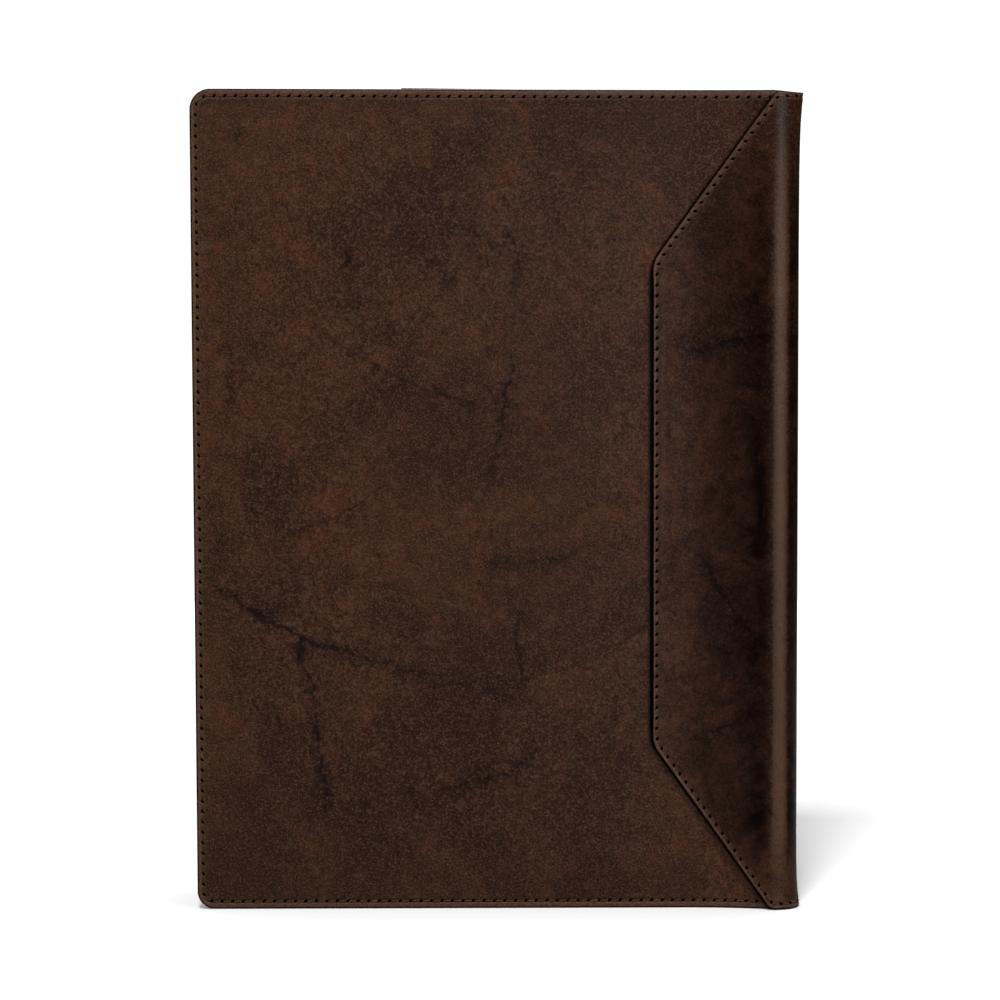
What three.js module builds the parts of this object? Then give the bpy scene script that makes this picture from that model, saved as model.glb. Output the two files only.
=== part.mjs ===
import * as THREE from "three";

// Leather document case standing on its lower edges, in millimetres with Z up.
// The back panel faces -Y, the spine is at +X, and the front panel opens away behind the back panel.

// Size of the closed leather covers
const CASE_WIDTH = 237.5;
const FORE_EDGE_HEIGHT = 323.7;
const SPINE_HEIGHT = 322.3;

// Angle between the two panels, enough for the case to stand like a slightly opened book
const SPREAD_DEG = 8;

// Leather thickness, and the gap that each piece keeps from its neighbour
const PANEL_LEATHER = 2.4;
const WRAP_LEATHER = 1.8;
const POCKET_LEATHER = 1.2;
const PIECE_GAP = 0.3;

// Rolled spine: outside radius at its crest, and the shoulder that falls from the crest to each flat panel,
// rounded where it starts and steepest just past that, as leather folded round a spine swells
const SPINE_RADIUS = 9.5;
const SHOULDER_DROP = 3.8;
const SHOULDER_REACH = 34.0;
const SHOULDER_SKEW = 0.55;
const SHOULDER_START = 1.6;
const SPINE_STATIONS = 14;

// Soft outward bow of each panel at its middle
const PANEL_BOW = 0.8;

// Fore-edge corners of the panels
const TOP_CORNER_RADIUS = 8.0;
const BOTTOM_CORNER_RADIUS = 7.0;
const CORNER_STATIONS = 6;

// Trapezoid lap of the spine wrap: its straight edge, its two corners and its narrow ends
const LAP_REACH = 48.4;
const LAP_CORNER_RADIUS = 14.0;
const LAP_UPPER_CORNER = 255.7;
const LAP_LOWER_CORNER = 66.1;
const LAP_TOP_REACH = 0.2;
const LAP_BOTTOM_REACH = 1.6;
const LAP_STATIONS = 9;
const LAP_CORNER_STATIONS = 5;

// Inner pocket: mouth and closed side measured from the spine, and how far its top edge stands proud
const POCKET_MOUTH_REACH = 145.5;
const POCKET_CLOSED_REACH = 6.0;
const POCKET_PROUD = 0.6;
const POCKET_PROUD_LENGTH = 56.0;
const POCKET_SLACK = 0.8;
const POCKET_STATIONS = 12;

// Outward flare of the spine leather near its two cut ends
const SPINE_FLARE = [
  { fromEnd: 0, top: 1.4, bottom: 1.0 },
  { fromEnd: 4, top: 1.15, bottom: 0.75 },
  { fromEnd: 8, top: 0.9, bottom: 0.45 },
  { fromEnd: 13, top: 0.55, bottom: 0.2 },
  { fromEnd: 20, top: 0.3, bottom: 0.08 },
  { fromEnd: 32, top: 0.1, bottom: 0 },
  { fromEnd: 60, top: 0, bottom: 0 },
];

// Rows of each sheet, as shares of the height of the leather at a station.
// The rows of the wrap crowd at its two flared ends.
const PANEL_ROWS = [0, 0.06, 0.16, 0.28, 0.4, 0.5, 0.6, 0.72, 0.84, 0.94, 1];
const WRAP_END_ROWS = [0, 0.011, 0.024, 0.04, 0.064, 0.1, 0.2, 0.35];
const WRAP_ROWS = [...WRAP_END_ROWS, 0.5, ...WRAP_END_ROWS.map((share) => 1 - share).reverse()];

// Stations over the flat part of a panel, as shares of that part, and how much they crowd towards a bend
const FLAT_SHARES = [0.15, 0.35, 0.55, 0.75, 0.9];
const CROWDING = 2;

const LEATHER = {
  panel: { color: "#4a3126", roughness: 0.55, metalness: 0 },
  wrap: { color: "#402920", roughness: 0.48, metalness: 0 },
  pocket: { color: "#54392d", roughness: 0.7, metalness: 0 },
};

const PANEL_REACH = CASE_WIDTH - SPINE_RADIUS;
const SPREAD = THREE.MathUtils.degToRad(SPREAD_DEG);

// Each side of the case, seen from above: the way from the spine to the fore-edge, and the way out
const BACK_SIDE = {
  away: new THREE.Vector2(-1, 0),
  out: new THREE.Vector2(0, -1),
};
const FRONT_SIDE = {
  away: new THREE.Vector2(-Math.cos(SPREAD), Math.sin(SPREAD)),
  out: new THREE.Vector2(Math.sin(SPREAD), Math.cos(SPREAD)),
};

function ease(share) {
  const t = THREE.MathUtils.clamp(share, 0, 1);
  return t * t * (3 - 2 * t);
}

function panelTop(reach) {
  return THREE.MathUtils.lerp(SPINE_HEIGHT, FORE_EDGE_HEIGHT, reach / PANEL_REACH);
}

// Outside of the spine wrap, measured out from the middle of the spine
function wrapFace(reach, height) {
  const started = Math.hypot(reach, SHOULDER_START) - SHOULDER_START;
  const shoulder = SHOULDER_DROP * ease((started / SHOULDER_REACH) ** SHOULDER_SKEW);
  const across = Math.sin((Math.PI * reach) / PANEL_REACH);
  const upward = Math.sin((Math.PI * height) / FORE_EDGE_HEIGHT);
  return SPINE_RADIUS - shoulder + PANEL_BOW * across * Math.max(upward, 0);
}

function panelFace(reach, height) {
  return wrapFace(reach, height) - WRAP_LEATHER - PIECE_GAP;
}

// Outside of the pocket, which hangs a little slack at its mouth
function pocketFace(reach, height) {
  const along = (reach - POCKET_CLOSED_REACH) / (POCKET_MOUTH_REACH - POCKET_CLOSED_REACH);
  const upward = Math.sin((Math.PI * height) / FORE_EDGE_HEIGHT);
  const slack = POCKET_SLACK * along * Math.max(upward, 0);
  return panelFace(reach, height) - PANEL_LEATHER - PIECE_GAP - slack;
}

// Flare of the spine leather at a height, read from the table between its rows
function spineFlare(height) {
  const read = (fromEnd, end) => {
    const next = SPINE_FLARE.findIndex((row) => row.fromEnd >= fromEnd);
    if (next < 0) return 0;
    if (next === 0) return SPINE_FLARE[0][end];
    const near = SPINE_FLARE[next - 1];
    const far = SPINE_FLARE[next];
    const share = (fromEnd - near.fromEnd) / (far.fromEnd - near.fromEnd);
    return THREE.MathUtils.lerp(near[end], far[end], share);
  };
  return read(Math.max(height, 0), "bottom") + read(Math.max(SPINE_HEIGHT - height, 0), "top");
}

// One leather sheet: stations across its outline, rows up each station, an outer and an inner face,
// and the cut edge that joins them all round. face(station, height) gives the outer depth.
function leatherSheet(name, stations, rows, face, thickness, finish) {
  const points = [];
  for (const depthShare of [0, 1]) {
    for (const station of stations) {
      for (const share of rows) {
        const height = THREE.MathUtils.lerp(station.low, station.high, share);
        const depth = face(station, height) - depthShare * thickness;
        const x = station.side.away.x * station.reach + station.side.out.x * depth;
        const y = station.side.away.y * station.reach + station.side.out.y * depth;
        points.push(x, y, height);
      }
    }
  }
  const rowCount = rows.length;
  const lastStation = stations.length - 1;
  const lastRow = rowCount - 1;
  const outer = (station, row) => station * rowCount + row;
  const inner = (station, row) => (stations.length + station) * rowCount + row;
  const faces = [];
  const quad = (a, b, c, d) => faces.push(a, b, c, a, c, d);
  for (let i = 0; i < lastStation; i += 1) {
    for (let j = 0; j < lastRow; j += 1) {
      quad(outer(i, j), outer(i + 1, j), outer(i + 1, j + 1), outer(i, j + 1));
      quad(inner(i, j), inner(i, j + 1), inner(i + 1, j + 1), inner(i + 1, j));
    }
    quad(outer(i, 0), inner(i, 0), inner(i + 1, 0), outer(i + 1, 0));
    quad(outer(i, lastRow), outer(i + 1, lastRow), inner(i + 1, lastRow), inner(i, lastRow));
  }
  for (let j = 0; j < lastRow; j += 1) {
    quad(outer(0, j), outer(0, j + 1), inner(0, j + 1), inner(0, j));
    const above = j + 1;
    quad(outer(lastStation, j), inner(lastStation, j), inner(lastStation, above), outer(lastStation, above));
  }
  const geometry = new THREE.BufferGeometry();
  geometry.setAttribute("position", new THREE.Float32BufferAttribute(points, 3));
  geometry.setIndex(faces);
  geometry.computeVertexNormals();
  const mesh = new THREE.Mesh(geometry, new THREE.MeshStandardMaterial(finish));
  mesh.name = name;
  return mesh;
}

// Height lost at a rounded corner, at a distance in from the fore-edge
function cornerDrop(radius, fromEdge) {
  const inside = Math.max(radius - fromEdge, 0);
  return radius - Math.sqrt(Math.max(radius * radius - inside * inside, 0));
}

// Stations of a panel from the fore-edge, round its corners, to the spine
function panelStations(side) {
  const largestCorner = Math.max(TOP_CORNER_RADIUS, BOTTOM_CORNER_RADIUS);
  const fromEdges = [];
  for (let i = 0; i <= CORNER_STATIONS; i += 1) {
    const turn = (Math.PI / 2) * (i / CORNER_STATIONS);
    fromEdges.push(largestCorner * (1 - Math.cos(turn)));
  }
  const shoulderStart = PANEL_REACH - SHOULDER_REACH;
  for (const share of FLAT_SHARES) {
    fromEdges.push(THREE.MathUtils.lerp(largestCorner, shoulderStart, share));
  }
  for (let i = 0; i <= LAP_STATIONS; i += 1) {
    fromEdges.push(PANEL_REACH - SHOULDER_REACH * (1 - i / LAP_STATIONS) ** CROWDING);
  }
  return fromEdges.map((fromEdge) => {
    const reach = PANEL_REACH - fromEdge;
    return {
      side,
      reach,
      low: cornerDrop(BOTTOM_CORNER_RADIUS, fromEdge),
      high: panelTop(reach) - cornerDrop(TOP_CORNER_RADIUS, fromEdge),
    };
  });
}

// Rise of the lap's sloping edge past its rounded corner, at a reach from the spine
function lapRise(reach, cornerToEnd, endReach) {
  const slope = Math.atan((LAP_REACH - endReach) / cornerToEnd);
  const roundStart = LAP_REACH - LAP_CORNER_RADIUS * (1 - Math.cos(slope));
  if (reach <= roundStart) return (LAP_REACH - reach) / Math.tan(slope);
  const fromCentre = reach - (LAP_REACH - LAP_CORNER_RADIUS);
  const across = Math.sqrt(Math.max(LAP_CORNER_RADIUS ** 2 - fromCentre ** 2, 0));
  return across - LAP_CORNER_RADIUS * Math.tan(slope / 2);
}

function lapStation(side, reach) {
  const high = LAP_UPPER_CORNER + lapRise(reach, SPINE_HEIGHT - LAP_UPPER_CORNER, LAP_TOP_REACH);
  const low = LAP_LOWER_CORNER - lapRise(reach, LAP_LOWER_CORNER, LAP_BOTTOM_REACH);
  return { side, reach, low: Math.max(low, 0), high: Math.min(high, panelTop(reach)) };
}

// Stations of one lap, from its straight edge to the start of the rolled spine
function lapStations(side) {
  const slope = Math.atan((LAP_REACH - LAP_TOP_REACH) / (SPINE_HEIGHT - LAP_UPPER_CORNER));
  const reaches = [];
  for (let i = 0; i <= LAP_CORNER_STATIONS; i += 1) {
    const turn = (slope * i) / LAP_CORNER_STATIONS;
    reaches.push(LAP_REACH - LAP_CORNER_RADIUS * (1 - Math.cos(turn)));
  }
  const rounded = reaches[reaches.length - 1];
  for (let i = 1; i <= LAP_STATIONS; i += 1) {
    reaches.push(LAP_BOTTOM_REACH + (rounded - LAP_BOTTOM_REACH) * (1 - i / LAP_STATIONS) ** CROWDING);
  }
  reaches.push(LAP_TOP_REACH);
  return reaches.map((reach) => lapStation(side, reach));
}

// Stations round the rolled spine, between the outward ways of the two sides
function spineStations() {
  const stations = [];
  const start = -Math.PI / 2;
  const end = Math.PI / 2 - SPREAD;
  for (let i = 0; i <= SPINE_STATIONS; i += 1) {
    const turn = THREE.MathUtils.lerp(start, end, i / SPINE_STATIONS);
    const out = new THREE.Vector2(Math.cos(turn), Math.sin(turn));
    const side = { away: BACK_SIDE.away, out };
    stations.push({ side, reach: 0, low: 0, high: SPINE_HEIGHT });
  }
  return stations;
}

function pocketStations() {
  const stations = [];
  for (let i = 0; i <= POCKET_STATIONS; i += 1) {
    const open = 1 - i / POCKET_STATIONS;
    const reach = THREE.MathUtils.lerp(POCKET_CLOSED_REACH, POCKET_MOUTH_REACH, open ** CROWDING);
    const share = 1 - (POCKET_MOUTH_REACH - reach) / POCKET_PROUD_LENGTH;
    const proud = Math.max(POCKET_PROUD * share, -PIECE_GAP);
    stations.push({ side: BACK_SIDE, reach, low: PIECE_GAP, high: panelTop(reach) + proud });
  }
  return stations;
}

// Back panel, faces the viewer
const backPanel = leatherSheet(
  "back_panel",
  panelStations(BACK_SIDE),
  PANEL_ROWS,
  (station, height) => panelFace(station.reach, height),
  PANEL_LEATHER,
  LEATHER.panel,
);

// Front panel, the same sheet on the far side, turned the other way round
const frontPanel = leatherSheet(
  "front_panel",
  panelStations(FRONT_SIDE).reverse(),
  PANEL_ROWS,
  (station, height) => panelFace(station.reach, height),
  PANEL_LEATHER,
  LEATHER.panel,
);

// Spine wrap, round the spine and over the edge of both panels
const spineWrap = leatherSheet(
  "spine_wrap",
  [...lapStations(BACK_SIDE), ...spineStations(), ...lapStations(FRONT_SIDE).reverse()],
  WRAP_ROWS,
  (station, height) => {
    const rolled = Math.max(station.side.out.x, 0) ** 2;
    return wrapFace(station.reach, height) + spineFlare(height) * rolled;
  },
  WRAP_LEATHER,
  LEATHER.wrap,
);

// Inner pocket, on the inside of the back panel
const innerPocket = leatherSheet(
  "inner_pocket",
  pocketStations(),
  PANEL_ROWS,
  (station, height) => pocketFace(station.reach, height),
  POCKET_LEATHER,
  LEATHER.pocket,
);

// The case, with its origin at the middle of its footprint
const documentCase = new THREE.Group();
documentCase.name = "document_case";
documentCase.add(backPanel, frontPanel, spineWrap, innerPocket);
const bounds = new THREE.Box3().setFromObject(documentCase);
const middle = bounds.getCenter(new THREE.Vector3());
documentCase.position.set(-middle.x, -middle.y, -bounds.min.z);

export default documentCase;
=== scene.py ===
"""Leather document case, standing slightly open like a book. Metres, Z up, back panel towards -Y."""

import math

import bpy
import numpy as np
from mathutils import Matrix, Vector


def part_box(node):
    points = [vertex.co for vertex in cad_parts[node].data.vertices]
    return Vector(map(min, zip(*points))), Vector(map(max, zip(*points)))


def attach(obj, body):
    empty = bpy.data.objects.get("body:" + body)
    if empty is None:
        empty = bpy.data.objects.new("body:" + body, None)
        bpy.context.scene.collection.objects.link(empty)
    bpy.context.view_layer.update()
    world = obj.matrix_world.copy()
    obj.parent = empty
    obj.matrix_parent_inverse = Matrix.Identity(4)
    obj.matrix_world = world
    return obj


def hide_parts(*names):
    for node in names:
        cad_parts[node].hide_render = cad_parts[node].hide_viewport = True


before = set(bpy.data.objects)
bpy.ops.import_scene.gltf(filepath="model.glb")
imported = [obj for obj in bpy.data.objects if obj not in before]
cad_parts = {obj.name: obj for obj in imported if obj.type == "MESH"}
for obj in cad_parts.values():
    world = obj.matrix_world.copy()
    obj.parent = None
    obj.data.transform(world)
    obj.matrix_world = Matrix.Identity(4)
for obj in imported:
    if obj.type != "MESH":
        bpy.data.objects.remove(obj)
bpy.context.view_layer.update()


# Back panel
# One cover of the case: a thick sheet of oiled brown leather, marbled and marked by use. Its edge is
# burnished to a dome and held by a saddle stitch, and its spine side goes under the wrap.

MM = 0.001
PANEL_REACH = 228.0 * MM
FORE_EDGE_HEIGHT = 323.7 * MM
SPINE_HEIGHT = 322.3 * MM
SPREAD = math.radians(8.0)
PANEL_LEATHER = 2.4 * MM
WRAP_LEATHER = 1.8 * MM
PIECE_GAP = 0.3 * MM
SPINE_RADIUS = 9.5 * MM
SHOULDER_DROP = 3.8 * MM
SHOULDER_REACH = 34.0 * MM
SHOULDER_SKEW = 0.55
SHOULDER_START = 1.6 * MM
PANEL_BOW = 0.8 * MM
TOP_CORNER_RADIUS = 8.0 * MM
BOTTOM_CORNER_RADIUS = 7.0 * MM
PANEL_SEAM_INSETS = (2.9 * MM, 2.35 * MM, 3.0 * MM)
PANEL_EDGE_ROUND = 0.8 * MM
PANEL_EDGE_PAINT = 0.6 * MM
STITCH_PITCH = 4.15 * MM
LEAST_SEAM_RADIUS = 0.6 * MM
DOME_HEIGHT = 0.16 * MM
DOME_WIDTH = 5.4 * MM
GROOVE_DEPTH = 0.22 * MM
GROOVE_WIDTH = 0.85 * MM
INSIDE_RELIEF = 0.5
GRID_STEP = 2.3 * MM
SHOULDER_COLUMNS = 18
SHOULDER_CROWDING = 1.4
ARC_POINTS = 14
EDGE_STATIONS = MM * np.array([
    0, 0.03, 0.09, 0.18, 0.32, 0.5, 0.72, 1.0, 1.35, 1.75, 2.1, 2.4, 2.65, 2.88, 3.1, 3.32, 3.55, 3.8,
    4.15, 4.6, 5.2, 6.1, 7.4,
])

back_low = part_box("back_panel")[0]
spine_x = back_low.x + PANEL_REACH
spine_y = back_low.y + SPINE_RADIUS - WRAP_LEATHER - PIECE_GAP

BACK_SIDE = {"away": (-1.0, 0.0), "out": (0.0, -1.0)}
FRONT_SIDE = {
    "away": (-math.cos(SPREAD), math.sin(SPREAD)),
    "out": (math.sin(SPREAD), math.cos(SPREAD)),
}


def ease(share):
    """Smooth step: three t squared less two t cubed, with t the share held between 0 and 1."""
    t = np.clip(share, 0, 1)
    return t * t * (3 - 2 * t)


def wrap_face(reach, height):
    """Depth of the wrap's outside from the spine's middle: the spine's radius, less a shoulder that
    eases in with a power of the reach, rounded where it starts, plus a bow of half a wave each way."""
    started = np.sqrt(np.maximum(reach, 0) ** 2 + SHOULDER_START**2) - SHOULDER_START
    shoulder = SHOULDER_DROP * ease((started / SHOULDER_REACH) ** SHOULDER_SKEW)
    across = np.sin(np.pi * np.clip(reach / PANEL_REACH, 0, 1))
    upward = np.sin(np.pi * np.clip(height / FORE_EDGE_HEIGHT, 0, 1))
    return SPINE_RADIUS - shoulder + PANEL_BOW * across * upward


def panel_face(reach, height):
    """Depth of a panel's outside: under the wrap by its leather and the gap."""
    return wrap_face(reach, height) - WRAP_LEATHER - PIECE_GAP


def place(away, out, reach, depth, height):
    """Points of a sheet: the spine's middle, plus the reach along away and the depth along out."""
    x = spine_x + away[0] * reach + out[0] * depth
    y = spine_y + away[1] * reach + out[1] * depth
    return np.stack([x, y, height + 0 * reach], axis=-1)


def rounded_path(corners):
    """Points along a line through corners (across, height, radius), where each inner corner is cut by
    an arc that touches both of its sides."""
    points = [corners[0][:2]]
    for before, corner, after in zip(corners, corners[1:], corners[2:]):
        middle = np.array(corner[:2])
        to_before = np.array(before[:2]) - middle
        to_after = np.array(after[:2]) - middle
        to_before /= np.linalg.norm(to_before)
        to_after /= np.linalg.norm(to_after)
        half = math.acos(np.clip(to_before @ to_after, -1, 1)) / 2
        inward = (to_before + to_after) / np.linalg.norm(to_before + to_after)
        centre = middle + inward * corner[2] / math.sin(half)
        start = middle + to_before * corner[2] / math.tan(half) - centre
        end = middle + to_after * corner[2] / math.tan(half) - centre
        sweep = math.pi - 2 * half
        for turn in np.linspace(0, sweep, ARC_POINTS):
            from_centre = start * math.sin(sweep - turn) + end * math.sin(turn)
            points.append(centre + from_centre / math.sin(sweep))
    points.append(corners[-1][:2])
    return np.array(points)


def inset_corners(corners, insets):
    """The same corners with every side moved in by its own inset: each corner goes where its two moved
    sides meet, and its radius shrinks by the mean of their insets."""
    table = np.array(corners)
    steps = np.diff(table[:, :2], axis=0)
    inward = np.stack([steps[:, 1], -steps[:, 0]], axis=1) / np.linalg.norm(steps, axis=1)[:, None]
    moved = table[:, :2].copy()
    moved[0] += insets[0] * inward[0]
    moved[-1] += insets[-1] * inward[-1]
    for corner in range(1, len(table) - 1):
        sides = inward[corner - 1 : corner + 1]
        moved[corner] += np.linalg.solve(sides, insets[corner - 1 : corner + 1])
    mean = np.convolve(insets, (0.5, 0.5))
    return np.column_stack([moved, np.maximum(table[:, 2] - mean, LEAST_SEAM_RADIUS)])


def seam_coordinates(across, height, path):
    """For every point: the length along the path to its nearest point, and its distance to the path,
    positive on the path's left, which is the outside."""
    points = np.stack([across, height + 0 * across], axis=-1).reshape(-1, 1, 2)
    start = path[:-1]
    step = path[1:] - start
    length = np.linalg.norm(step, axis=1)
    begun = np.concatenate([[0], np.cumsum(length)[:-1]])
    offset = points - start
    share = np.clip((offset * step).sum(axis=2) / length**2, 0, 1)
    distance = np.linalg.norm(offset - share[:, :, None] * step, axis=2)
    nearest = distance.argmin(axis=1)
    rows = np.arange(len(nearest))
    turn = step[:, 0] * offset[:, :, 1] - step[:, 1] * offset[:, :, 0]
    along = begun[nearest] + share[rows, nearest] * length[nearest]
    signed = np.where(turn[rows, nearest] < 0, -1, 1) * distance[rows, nearest]
    return along.reshape(across.shape), signed.reshape(across.shape)


def edge_limits(across, path, middle_height):
    """Low and high edge of the outline at each place across it, read from its two halves."""
    upper = path[path[:, 1] > middle_height]
    lower = path[path[:, 1] <= middle_height]
    upper = upper[np.argsort(upper[:, 0], kind="stable")]
    lower = lower[np.argsort(lower[:, 0], kind="stable")]
    return np.interp(across, lower[:, 0], lower[:, 1]), np.interp(across, upper[:, 0], upper[:, 1])


def graded(fine, length, step):
    """Shares of the way between two edges, and offsets to add: fine steps beside each edge, and even
    steps between them."""
    even = np.linspace(0, 1, int(round((length - 2 * fine[-1]) / step)) + 1)
    share = np.concatenate([0 * fine[:-1], even, 1 + 0 * fine[:-1]])
    offset = np.concatenate([fine[:-1], fine[-1] * (1 - 2 * even), -fine[-2::-1]])
    return share, offset


def grid_heights(low, high, rows):
    """Height of every row of every column, between the column's low and high edge."""
    share, offset = rows
    return low[:, None] + share * (high - low)[:, None] + offset


def edge_loss(from_edge, radius):
    """Depth lost at a rounded edge: a quarter circle of the radius, and nothing further in."""
    inside = np.clip(radius - from_edge, 0, radius)
    return radius - np.sqrt(radius**2 - inside**2)


def seam_relief(from_edge, from_seam):
    """Depth beside a seam: half a wave of dome from the edge inwards, less a bell-shaped groove."""
    dome = DOME_HEIGHT * np.sin(np.pi * np.clip(from_edge / DOME_WIDTH, 0, 1))
    return dome - GROOVE_DEPTH * np.exp(-((from_seam / GROOVE_WIDTH) ** 2))


def closed_sheet(name, outer, inner, seam, fields):
    """Mesh from two grids of points, the outside and the inside, and a rim that joins their borders.
    The seam map holds (stitches along, distance outside the seam), fields are the grids of values that
    the leather reads by name, and inner_face is 1 on the inside."""
    columns, rows = outer.shape[:2]
    index = np.arange(columns * rows).reshape(columns, rows)
    a, b, c, d = index[:-1, :-1], index[1:, :-1], index[1:, 1:], index[:-1, 1:]
    front = np.stack([a, b, c, d], axis=-1).reshape(-1, 4)
    back = np.stack([a, d, c, b], axis=-1).reshape(-1, 4) + columns * rows
    loop = np.concatenate([index[:-1, 0], index[-1, :-1], index[:0:-1, -1], index[0, :0:-1]])
    following = np.roll(loop, -1)
    rim = np.stack([loop, loop + columns * rows, following + columns * rows, following], axis=-1)
    faces = np.concatenate([front, back, rim])
    mesh = bpy.data.meshes.new(name)
    points = np.concatenate([outer.reshape(-1, 3), inner.reshape(-1, 3)])
    mesh.from_pydata(points.tolist(), [], faces.tolist())
    uv = np.tile(np.stack([seam[0].ravel(), seam[1].ravel()], axis=-1), (2, 1))
    mesh.uv_layers.new(name="seam").data.foreach_set("uv", uv[faces.ravel()].astype(np.float32).ravel())
    inner_face = np.repeat([0.0, 1.0], columns * rows)
    values_by_name = {title: np.tile(grid.ravel(), 2) for title, grid in fields.items()}
    for title, values in {**values_by_name, "inner_face": inner_face}.items():
        attribute = mesh.attributes.new(title, "FLOAT", "POINT")
        attribute.data.foreach_set("value", values.astype(np.float32))
    mesh.shade_smooth()
    mesh.update()
    piece = bpy.data.objects.new(name, mesh)
    bpy.context.scene.collection.objects.link(piece)
    return piece


class Shade:
    """A socket in a material's node tree. Arithmetic with sockets and numbers adds Math nodes."""

    def __init__(self, tree, socket=None):
        self.tree = tree
        self.socket = socket

    def node(self, kind, settings=None, sockets=None, output=0):
        """Adds a node: its settings first, then the value or link of each of its sockets."""
        made = self.tree.nodes.new(kind)
        for name, value in (settings or {}).items():
            setattr(made, name, value)
        for name, value in (sockets or {}).items():
            if isinstance(value, Shade):
                self.tree.links.new(value.socket, made.inputs[name])
            else:
                made.inputs[name].default_value = value
        return Shade(self.tree, made.outputs[output] if made.outputs else None)

    def math(self, operation, *values):
        return self.node("ShaderNodeMath", {"operation": operation}, dict(enumerate(values)))

    def vector(self, operation, *values, output=0):
        settings = {"operation": operation}
        return self.node("ShaderNodeVectorMath", settings, dict(enumerate(values)), output)

    def __add__(self, other):
        return self.math("ADD", self, other)

    def __sub__(self, other):
        return self.math("SUBTRACT", self, other)

    def __rsub__(self, other):
        return self.math("SUBTRACT", other, self)

    def __mul__(self, other):
        return self.math("MULTIPLY", self, other)

    __radd__ = __add__
    __rmul__ = __mul__

    def ramp(self, start, end):
        """0 at start and 1 at end, smooth between; start may be the larger."""
        sockets = {"Value": self, "From Min": start, "From Max": end}
        return self.node("ShaderNodeMapRange", {"interpolation_type": "SMOOTHSTEP"}, sockets)

    def tint(self, low, high):
        """The colour that goes from low to high as this value goes from 0 to 1."""
        return self.node("ShaderNodeMix", {"data_type": "RGBA"}, {0: self, 6: low, 7: high}, 2)

    def noise(self, place, size, detail=3.0, distortion=0.0, roughness=0.5, output=0):
        """Noise whose features are about that size, in metres."""
        sockets = {"Vector": place, "Scale": 1 / size, "Detail": detail}
        sockets.update({"Distortion": distortion, "Roughness": roughness})
        return self.node("ShaderNodeTexNoise", None, sockets, output)

    def wobble(self, start, place, size, detail, reach):
        """The start moved about by up to half the reach each way, by colour noise read at the place."""
        wander = self.noise(place, size, detail, output="Color")
        off_centre = self.vector("SUBTRACT", wander, (0.5, 0.5, 0.5))
        return self.vector("MULTIPLY_ADD", off_centre, (reach, reach, reach), start)

    def field(self, name):
        """A field of the sheet, read by its name."""
        return self.node("ShaderNodeAttribute", {"attribute_name": name}, output="Fac")

    def parts(self, place):
        """The three parts of a place or map coordinate."""
        split = self.node("ShaderNodeSeparateXYZ", None, {"Vector": place}).socket.node
        return [Shade(self.tree, part) for part in split.outputs]


# Widths of a vein's dark core and of the soot beside it, and how far the veins fray from their lines
VEIN_WIDTH = 1.5 * MM
SOOT_WIDTH = 7.5 * MM
SOOT_START = 0.4 * MM
VEIN_FRAY = {"size": 3.5 * MM, "detail": 2.0, "reach": 4 * MM}
VEIN_SHARE = 0.85

# The noises of the hide, from its clouds down to its grain, and which of them wander with the wrinkles
WANDER = {"size": 16 * MM, "detail": 3.0, "reach": 9 * MM}
HIDE_NOISES = {
    "clouds": {"size": 70 * MM, "detail": 4.0, "distortion": 0.8, "roughness": 0.62},
    "marbling": {"size": 26 * MM, "detail": 5.0, "distortion": 1.8, "roughness": 0.66},
    "mottle": {"size": 5.5 * MM, "detail": 4.0, "distortion": 0.6, "roughness": 0.7},
    "speckle": {"size": 1.5 * MM, "detail": 2.0, "distortion": 0.0, "roughness": 0.75},
    "grain": {"size": 0.75 * MM, "detail": 2.0, "distortion": 0.0, "roughness": 0.75},
    "wrinkle": {"size": 34 * MM, "detail": 3.0, "distortion": 0.7, "roughness": 0.6},
    "smoke": {"size": 11 * MM, "detail": 4.0, "distortion": 2.2, "roughness": 0.6},
    "soot": {"size": 22 * MM, "detail": 4.0, "distortion": 2.6, "roughness": 0.68},
}
WANDERING = ("clouds", "marbling", "wrinkle", "smoke", "soot")

# Coats of tone in the order they go on: where the noise goes from start to end the tone comes in, up to
# its share, inside the mask if there is one. Broad and fine coats can be made stronger or weaker.
HIDE_COATS = [
    {"noise": "marbling", "start": 0.5, "end": 0.66, "share": 0.7, "tone": "warm", "mask": "cloudy"},
    {"noise": "marbling", "start": 0.44, "end": 0.3, "share": 0.4, "tone": "dark"},
    {"noise": "smoke", "start": 0.5, "end": 0.34, "share": 0.6, "tone": "dark", "kind": "broad"},
    {"noise": "smoke", "start": 0.55, "end": 0.7, "share": 0.8, "tone": "warm", "mask": "warm"},
    {"noise": "soot", "start": 0.43, "end": 0.28, "share": 1.0, "tone": "rim", "mask": "patchy"},
    {"noise": "mottle", "start": 0.5, "end": 0.68, "share": 0.22, "tone": "worn_and_highlight"},
    {"noise": "mottle", "start": 0.48, "end": 0.32, "share": 0.32, "tone": "dark"},
    {"noise": "speckle", "start": 0.5, "end": 0.7, "share": 0.3, "tone": "worn_and_highlight", "kind": "fine"},
    {"noise": "speckle", "start": 0.48, "end": 0.32, "share": 0.3, "tone": "rim", "kind": "fine"},
    {"noise": "crease", "start": 0.011, "end": 0.0, "share": 0.6, "tone": "rim", "mask": "mottled"},
    {"noise": "grain", "start": 0.5, "end": 0.68, "share": 0.5, "tone": "worn_and_highlight", "kind": "fine"},
    {"noise": "grain", "start": 0.5, "end": 0.3, "share": 0.58, "tone": "rim", "kind": "fine"},
]
RELIEF_DEPTHS = {"grain": 0.05 * MM, "speckle": 0.08 * MM, "mottle": 0.14 * MM}

# Sets of scratches: the way they run as a turn in radians, their width and their length in millimetres
SCRATCHES = [
    {"turn": 0.4, "width": 0.5, "run": 16},
    {"turn": -1.1, "width": 0.4, "run": 9},
    {"turn": 1.5, "width": 0.45, "run": 22},
]
SCRATCH_DEPTH = 8.0
SCRATCH_SHARE = 0.3

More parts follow.
